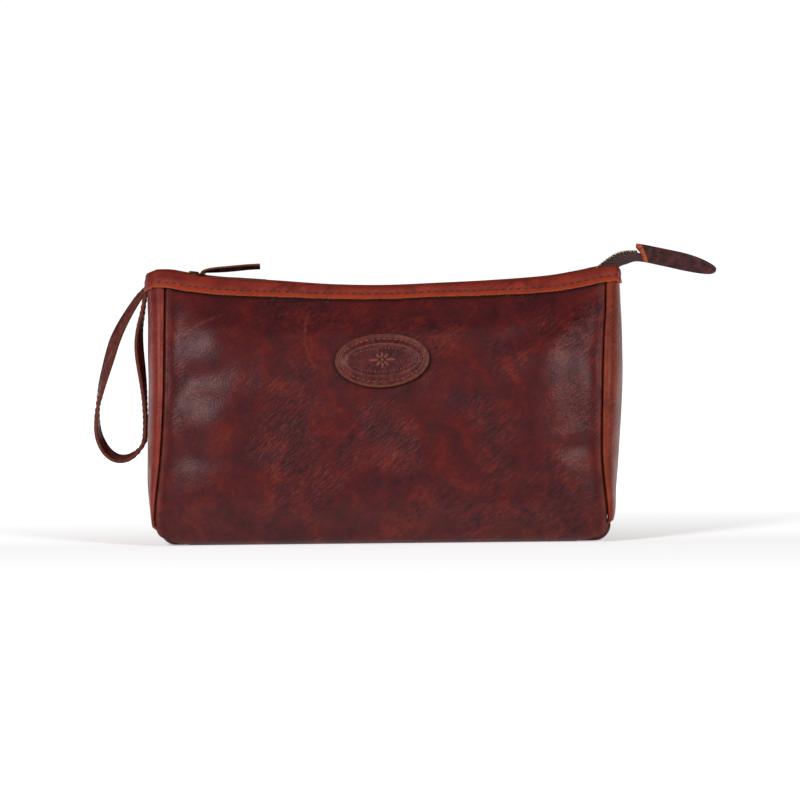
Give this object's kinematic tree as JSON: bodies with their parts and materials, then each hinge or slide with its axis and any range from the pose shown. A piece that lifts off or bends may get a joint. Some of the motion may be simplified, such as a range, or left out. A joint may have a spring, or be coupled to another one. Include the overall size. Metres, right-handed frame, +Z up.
{
  "type": "shaving kit bag",
  "caption": "Leather wash bag with a zipped, sagging mouth, a wrist strap at one end and a leather tab on the zip's tail.",
  "frame": {"origin": "middle of the base's underside, on the surface the bag stands on", "axes": "+X along the bag towards the zip's tail tab, -Y out of the front that carries the oval badge, +Z up"},
  "size_m": [0.3407, 0.1016, 0.1641],
  "materials": {
    "body_leather": "pull-up leather, semi-gloss",
    "gusset_leather": "pull-up leather, semi-gloss",
    "binding_leather": "matt, raw edge",
    "strap_leather": "pull-up leather, semi-gloss",
    "lining_cotton": "matt weave",
    "zip_tape": "matt weave",
    "brass": "satin, aged"
  },
  "bodies": {
    "shell": {"base_panel": "body_leather", "lining_base": "lining_cotton", "gusset_left": "gusset_leather", "gusset_right": "gusset_leather", "lining_left": "lining_cotton", "lining_right": "lining_cotton", "binding_left": "binding_leather", "binding_right": "binding_leather", "exit_tape": "zip_tape", "exit_teeth": "brass"},
    "front": {"front_panel": "body_leather", "lining_front": "lining_cotton", "binding_front": "binding_leather", "zip_tape_front": "zip_tape", "zip_teeth_front": "brass", "top_stop_front": "brass", "badge": "body_leather"},
    "back": {"back_panel": "body_leather", "lining_back": "lining_cotton", "binding_back": "binding_leather", "zip_tape_back": "zip_tape", "zip_teeth_back": "brass", "top_stop_back": "brass"},
    "slider": {"slider_body": "brass"},
    "pull": {"pull_ring": "brass", "pull_thong": "strap_leather"},
    "tail": {"tail_tape": "zip_tape", "tail_teeth": "brass", "tail_tab": "strap_leather", "bottom_stop": "brass"},
    "strap": {"wrist_strap": "strap_leather"}
  },
  "joints": [
    {"name": "zip_travel", "type": "hinge", "parent": "shell", "child": "slider", "pos_m": [0, 0, 1.038], "axis": [0, -1, 0], "range_deg": [0, 11.4]},
    {"name": "front_open", "type": "hinge", "parent": "shell", "child": "front", "pos_m": [0, -0.0425, 0.008], "axis": [1, 0, 0], "range_deg": [0, 12], "deforming": ["zip_teeth_front"]},
    {"name": "back_open", "type": "hinge", "parent": "shell", "child": "back", "pos_m": [0, 0.0425, 0.008], "axis": [-1, 0, 0], "range_deg": [0, 12], "deforming": ["zip_teeth_back"]},
    {"name": "pull_swing", "type": "hinge", "parent": "slider", "child": "pull", "pos_m": [-0.10661, 0, 0.14766], "axis": [0, -1, 0], "range_deg": [0, 150]},
    {"name": "tail_flex", "type": "hinge", "parent": "shell", "child": "tail", "pos_m": [0.132, 0, 0.1545], "axis": [0, 1, 0], "range_deg": [-30, 60]},
    {"name": "strap_swing", "type": "hinge", "parent": "shell", "child": "strap", "pos_m": [-0.1333, 0, 0.14], "axis": [0, 1, 0], "range_deg": [0, 105]}
  ],
  "couplings": [
    {"joint": "front_open", "follows": "zip_travel", "ratio": 1.05},
    {"joint": "back_open", "follows": "zip_travel", "ratio": 1.05}
  ]
}
